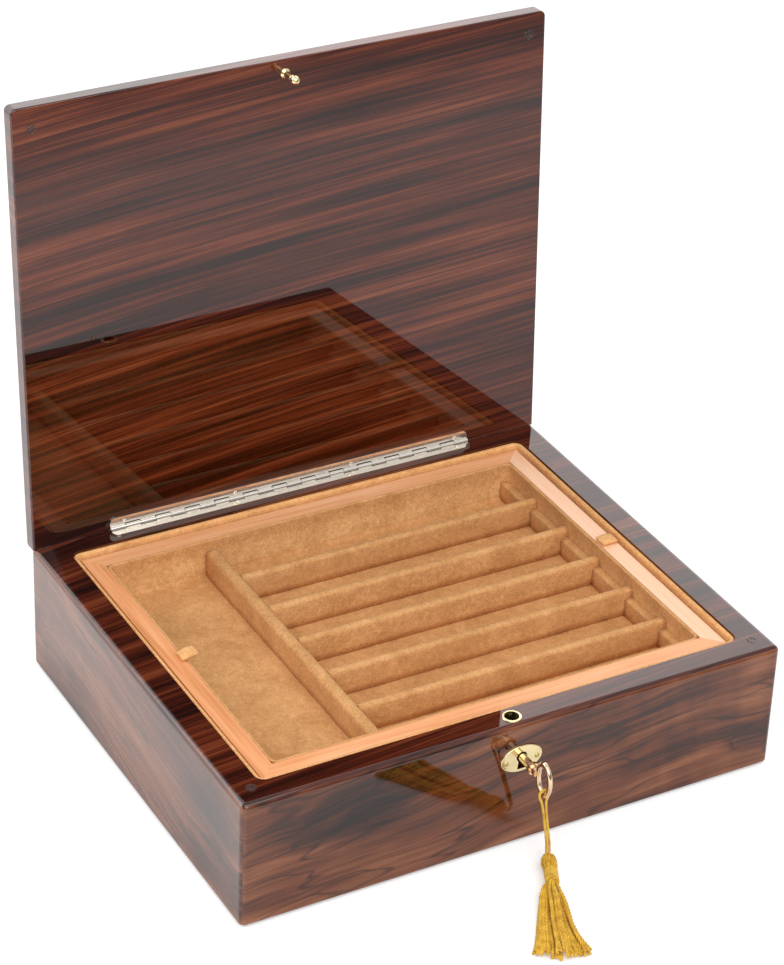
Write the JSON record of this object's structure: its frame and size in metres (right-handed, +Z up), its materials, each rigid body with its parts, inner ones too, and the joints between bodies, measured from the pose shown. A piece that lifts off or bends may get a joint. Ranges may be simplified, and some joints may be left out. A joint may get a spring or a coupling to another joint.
{
  "type": "pen collector chest",
  "caption": "Hinged wooden display chest for pens, with a lift-out suede-lined tray, a piano hinge, a box lock and a tasselled key.",
  "frame": {"origin": "centre of the case's footprint, on the surface that it stands on", "axes": "+Z up, +Y from the locked front to the hinge, +X to the right along the front"},
  "size_m": [0.28, 0.3352, 0.2927],
  "materials": {
    "veneer": "high gloss lacquer over rosewood veneer",
    "plywood": "sanded",
    "cedar": "satin",
    "felt": "matte",
    "suede": "napped",
    "nickel": "polished nickel",
    "brass": "polished",
    "lock_steel": "plain",
    "clear_rubber": "clear",
    "thread": "rayon sheen"
  },
  "bodies": {
    "case": {"case_front_wall": "veneer", "case_back_wall": "veneer", "case_left_wall": "veneer", "case_right_wall": "veneer", "case_bottom": "plywood", "base_felt": "felt", "case_lining": "suede", "floor_pad": "suede", "tray_ledge_left": "cedar", "tray_ledge_right": "cedar", "tray_ledge_front": "cedar", "tray_ledge_back": "cedar", "hinge_case_leaf": "nickel", "hinge_case_screws": "nickel", "hinge_pin": "nickel", "rim_bumpers": "clear_rubber", "lock_case": "lock_steel", "lock_cover": "lock_steel", "key_post": "lock_steel", "lock_cover_screws": "lock_steel", "lock_socket": "brass", "escutcheon": "brass", "escutcheon_pins": "brass"},
    "lid": {"lid_panel": "veneer", "lid_bumpers": "clear_rubber", "lid_catch_stud": "brass", "hinge_lid_leaf": "nickel", "hinge_lid_screws": "nickel"},
    "tray": {"tray_rail_left": "cedar", "tray_rail_right": "cedar", "tray_rail_front": "cedar", "tray_rail_back": "cedar", "tray_base": "plywood", "tray_lining": "suede", "main_divider": "suede", "pen_divider_1": "suede", "pen_divider_2": "suede", "pen_divider_3": "suede", "pen_divider_4": "suede", "pen_divider_5": "suede", "end_rail": "suede"},
    "left_tab": {"pull_tab_left": "suede"},
    "right_tab": {"pull_tab_right": "suede"},
    "lock_bolt": {"lock_bolt": "lock_steel"},
    "lock_curtain": {"lock_curtain": "lock_steel"},
    "key": {"key": "brass"},
    "tassel": {"tassel_cord": "thread", "tassel_head": "thread", "tassel_binding": "thread", "tassel_skirt": "thread"}
  },
  "joints": [
    {"name": "lid_hinge", "type": "hinge", "parent": "case", "child": "lid", "pos_m": [0, 0.1105, 0.068], "axis": [-1, 0, 0], "range_deg": [-93.4, 0]},
    {"name": "tray_lift", "type": "slide", "parent": "case", "child": "tray", "axis": [0, 0, 1], "range_m": [0, 0.05]},
    {"name": "left_tab_flip", "type": "hinge", "parent": "tray", "child": "left_tab", "pos_m": [-0.1136, 0.002, 0.06545], "axis": [0, -1, 0], "range_deg": [0, 75]},
    {"name": "right_tab_flip", "type": "hinge", "parent": "tray", "child": "right_tab", "pos_m": [0.1139, 0.002, 0.06545], "axis": [0, -1, 0], "range_deg": [0, 85]},
    {"name": "key_turn", "type": "hinge", "parent": "case", "child": "lock_curtain", "pos_m": [0, -0.108, 0.0493], "axis": [0, 1, 0], "range_deg": [0, 90]},
    {"name": "key_pull", "type": "slide", "parent": "lock_curtain", "child": "key", "axis": [0, -1, 0], "range_m": [0, 0.02]},
    {"name": "bolt_throw", "type": "slide", "parent": "case", "child": "lock_bolt", "axis": [-1, 0, 0], "range_m": [0, 0.0051]},
    {"name": "tassel_swing", "type": "hinge", "parent": "key", "child": "tassel", "pos_m": [0, -0.1356, 0.0416], "axis": [0, 1, 0], "range_deg": [-91, 0]}
  ],
  "couplings": [
    {"joint": "bolt_throw", "follows": "key_turn", "m_per_rad": 0.0031831},
    {"joint": "tassel_swing", "follows": "key_turn", "ratio": -1}
  ]
}
